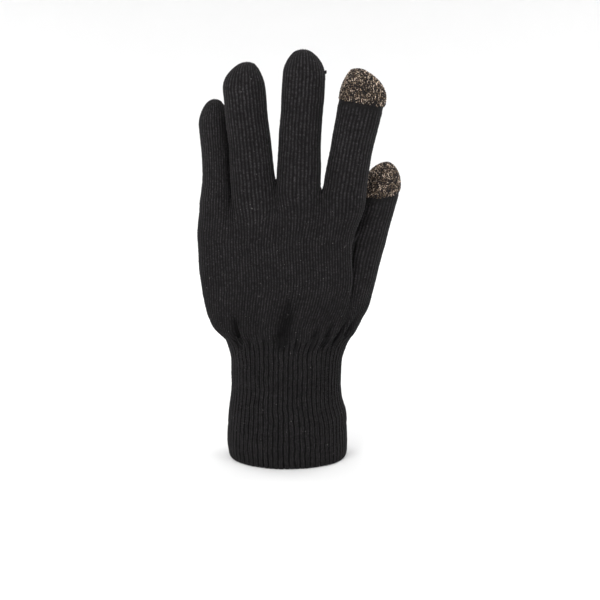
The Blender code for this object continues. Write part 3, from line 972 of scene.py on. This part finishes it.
def cap_loops(tube, first_row, slope, seed, out, shift, looseness):
    """Courses of yarn loops round a fingertip, as closed paths near its surface."""
    source = np.random.RandomState(seed)
    last = tube.rows + DOME_ROWS - 0.3
    wales = int(TUBE_RING * WALES_PER_COLUMN)
    turns = 2 * math.pi * np.arange(LOOP_STEPS) / LOOP_STEPS
    paths = []
    for share in np.linspace(0, 1, round((last - first_row) / CAP_COURSE)):
        path = []
        for wale in range(wales):
            loose = source.normal(size=3) * looseness
            start = first_row + slope / ROW * column_way(wale / WALES_PER_COLUMN)[0]
            course = lerp(start, last, share)
            for turn in turns:
                sway = turn / (2 * math.pi) + LOOP_SWAY * math.sin(2 * turn) + shift
                row = course + CAP_COURSE * (LOOP_REACH * math.cos(turn) + 0.3 * loose[0])
                row = min(row, tube.rows + DOME_ROWS - 0.1)
                column = (wale + sway) / WALES_PER_COLUMN + 0.1 * loose[1]
                lift = out + LOOP_LIFT * math.cos(2 * turn) + 0.12 * loose[2]
                path.append(tube.place(column, row) + outward(tube, column, row) * lift)
        paths.append(np.array(path))
    return paths


def outward(tube, column, row):
    beside = tube.place(column + 0.1, row) - tube.place(column - 0.1, row)
    above = tube.place(column, row + 0.1) - tube.place(column, row - 0.1)
    normal = np.cross(beside, above)
    return normal / (np.linalg.norm(normal) + 1e-9)


def make_cap(tube, first_row, slope, name, yarn, copper):
    """Conductive knit: a black yarn and a thinner metal one, looped together."""
    pieces = []
    for (kind, radius, sides, *loose), material in zip(CAP_YARNS, (yarn, copper)):
        paths = cap_loops(tube, first_row, slope, *loose)
        pieces.append(sweep(paths, radius, f"{name}_cap_{kind}_loops", material, sides))
    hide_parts(name + "_touch_tip")
    for loops in pieces:
        if tube is THUMB:
            thumb_tip_blend(loops)
        else:
            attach(loops, name + "_end")


def tuft(name, node, body, material, seed, centre, half, ends):
    """A tied-off yarn end: a few tight loops and its short cut ends."""
    source = np.random.RandomState(seed)
    paths = []
    for _ in range(KNOT_LOOPS):
        a, b = source.normal(size=(2, 3))
        a /= np.linalg.norm(a)
        b -= a * (a @ b)
        b /= np.linalg.norm(b)
        turns = np.linspace(0, 2 * math.pi, 18)
        radius = np.array(half) * source.uniform(0.5, 1.0)
        paths.append(centre + (np.cos(turns)[:, None] * a + np.sin(turns)[:, None] * b) * radius)
    for way in ends:
        steps = np.linspace(0, 1, 9)[:, None]
        bow = source.normal(size=3) * 0.3
        paths.append(centre + np.array(way) * steps + bow * np.sin(steps * math.pi))
    piece = sweep(paths, TIED_YARN, name, material, sides=6, closed=False)
    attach(piece, body)
    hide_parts(node)


def joint_blend(piece, joint_name, way):
    """Bakes the piece's placement into its mesh; the joint and the way are looked up but not used."""
    joint = JOINTS[joint_name]
    place, way = Vector(joint["pos_m"]), Vector(way)
    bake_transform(piece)


def thumb_tip_blend(piece):
    joint_blend(piece, "thumb_end_bend", THUMB.up)


def make_glove():
    yarn = yarn_material()
    data = knit(*subdivided(build_glove(), SUBDIVISIONS))

    for zone, name, slot, nodes in (
        ("palm_upper", "palm_upper_knit", "knit", ("palm_knit",)),
        ("palm_lower", "palm_lower_knit", "knit", ("thumb_base_tube",)),
        ("palm_gathers", "palm_gathered_knit", "knit", ()),
        ("cuff_upper", "cuff_upper_ribs", "rib", ("cuff_rib",)),
        ("cuff_lower", "cuff_lower_ribs", "rib", ("cuff_hem",)),
    ):
        piece = cut_piece(data, zone, name, yarn)
        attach(piece, "cuff_and_palm")
        if nodes:
            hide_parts(*nodes)

    for finger in FINGERS:
        name = finger.name
        pieces = {
            zone: cut_piece(data, f"{name}_{zone}", f"{name}_{zone}_knit", yarn)
            for zone in ("lower", "middle", "end")
        }
        slope = math.atan((finger.crotches[1] - finger.crotches[0]) / (2 * finger.widths[0]))
        crotch_way = (-math.sin(slope), 0, math.cos(slope))
        joint_blend(
            pieces["lower"], f"{name}_root_bend", crotch_way,
        )
        joint_blend(
            pieces["middle"], f"{name}_middle_bend", finger.up
        )
        joint_blend(
            pieces["end"], f"{name}_end_bend", finger.up
        )
        for zone, low in (("lower", "root"), ("middle", "middle"), ("end", "end")):
            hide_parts(f"{name}_{low}_knuckle", f"{name}_{zone}_tube")

    lower = cut_piece(data, "thumb_lower", "thumb_lower_knit", yarn)
    tip = cut_piece(data, "thumb_end", "thumb_end_knit", yarn)
    joint_blend(
        lower, "thumb_root_swing", THUMB.up,
    )
    thumb_tip_blend(tip)
    for piece, nodes in (
        (lower, ("thumb_root_knuckle", "thumb_lower_tube")),
        (tip, ("thumb_end_knuckle", "thumb_end_tube")),
    ):
        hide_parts(*nodes)
    return yarn


def make_details(yarn):
    inside = knit(*subdivided(build_lining(), 2))
    lining = cut_piece(inside, "cuff_inside", "cuff_inner_face", yarn)
    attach(lining, "cuff_and_palm")
    copper = copper_material()
    make_cap(INDEX, INDEX_CAP_ROW, 0.0, "index", yarn, copper)
    make_cap(THUMB, THUMB_CAP_ROW, THUMB_CAP_SLOPE, "thumb", yarn, copper)
    for name, tube, row, seed in (
        ("index", INDEX, INDEX_CAP_ROW, 2),
        ("middle", MIDDLE, MIDDLE.rows + 1.0, 5),
        ("thumb", THUMB, THUMB_CAP_ROW + THUMB_CAP_SLOPE / ROW, 3),
    ):
        centre = tube.place(TIED_COLUMN, row) + outward(tube, TIED_COLUMN, row) * TIED_OUT
        tuft(
            name + "_tied_end", name + "_yarn_end", name + "_end", yarn,
            seed, centre, TIED_HALF, CUT_ENDS,
        )
    for left, right in zip(FINGERS, FINGERS[1:]):
        pair = f"{left.name}_{right.name}"
        centre = left.place(STITCH_COLUMN, 0) + STITCH_SHIFT
        tuft(
            pair + "_linking_stitch", pair + "_crotch_stitch", "cuff_and_palm", yarn,
            len(pair), centre, STITCH_HALF, STITCH_ENDS,
        )
    elastic = frame["nodes"]["cuff_elastic_yarn"]
    elastic.data.materials.clear()
    elastic.data.materials.append(elastic_material())


def make_stage():
    """A plain pale floor that curves up into a far wall all round, and soft lights."""
    floor_mesh = bpy.data.meshes.new("pale_floor")
    shape = bmesh.new()
    flat = BOWL_RADIUS - BOWL_BEND
    profile = [(0.0, 0.0), (flat, 0.0)]
    for step in range(1, BOWL_STEPS + 1):
        turn = math.pi / 2 * step / BOWL_STEPS
        profile.append((flat + BOWL_BEND * math.sin(turn), BOWL_BEND * (1 - math.cos(turn))))
    profile.append((BOWL_RADIUS, BOWL_HEIGHT))
    corners = [shape.verts.new((reach, 0, height)) for reach, height in profile]
    edges = [shape.edges.new(pair) for pair in zip(corners, corners[1:])]
    bmesh.ops.spin(
        shape, geom=corners + edges, cent=(0, 0, 0), axis=(0, 0, 1),
        angle=2 * math.pi, steps=BOWL_SIDES,
    )
    bmesh.ops.remove_doubles(shape, verts=shape.verts, dist=1e-5)
    bmesh.ops.recalc_face_normals(shape, faces=shape.faces)
    shape.to_mesh(floor_mesh)
    floor_mesh.shade_smooth()
    made, *_, shader = new_material("pale_floor")
    shader.inputs["Base Color"].default_value = (*(FLOOR_ALBEDO,) * 3, 1)
    shader.inputs["Roughness"].default_value = 0.9
    floor_mesh.materials.append(made)
    floor = bpy.data.objects.new("pale_floor", floor_mesh)
    bpy.context.scene.collection.objects.link(floor)
    world = bpy.data.worlds.new("studio")
    bpy.context.scene.world = world
    world.use_nodes = True
    background = world.node_tree.nodes["Background"]
    background.inputs["Color"].default_value = (1, 1, 1, 1)
    background.inputs["Strength"].default_value = SKY_LIGHT
    bpy.context.scene.view_settings.view_transform = "Standard"
    for place, size, power in LIGHTS:
        light = bpy.data.lights.new("soft_box", "AREA")
        light.size = size
        light.energy = power
        holder = bpy.data.objects.new("soft_box", light)
        holder.location = place
        aim = Vector(LIGHT_AIM) - Vector(place)
        holder.rotation_euler = aim.to_track_quat("-Z", "Y").to_euler()
        bpy.context.scene.collection.objects.link(holder)


def make_camera():
    camera = bpy.data.cameras.new("camera")
    camera.lens = CAMERA_LENS
    holder = bpy.data.objects.new("camera", camera)
    bpy.context.scene.collection.objects.link(holder)
    back = Vector((0, -math.cos(CAMERA_ELEVATION), math.sin(CAMERA_ELEVATION)))
    holder.location = Vector(CAMERA_TARGET) + back * CAMERA_DISTANCE
    holder.rotation_euler = (-back).to_track_quat("-Z", "Y").to_euler()
    bpy.context.scene.camera = holder


YARN = make_glove()
make_details(YARN)
make_stage()
make_camera()

bpy.context.view_layer.update()
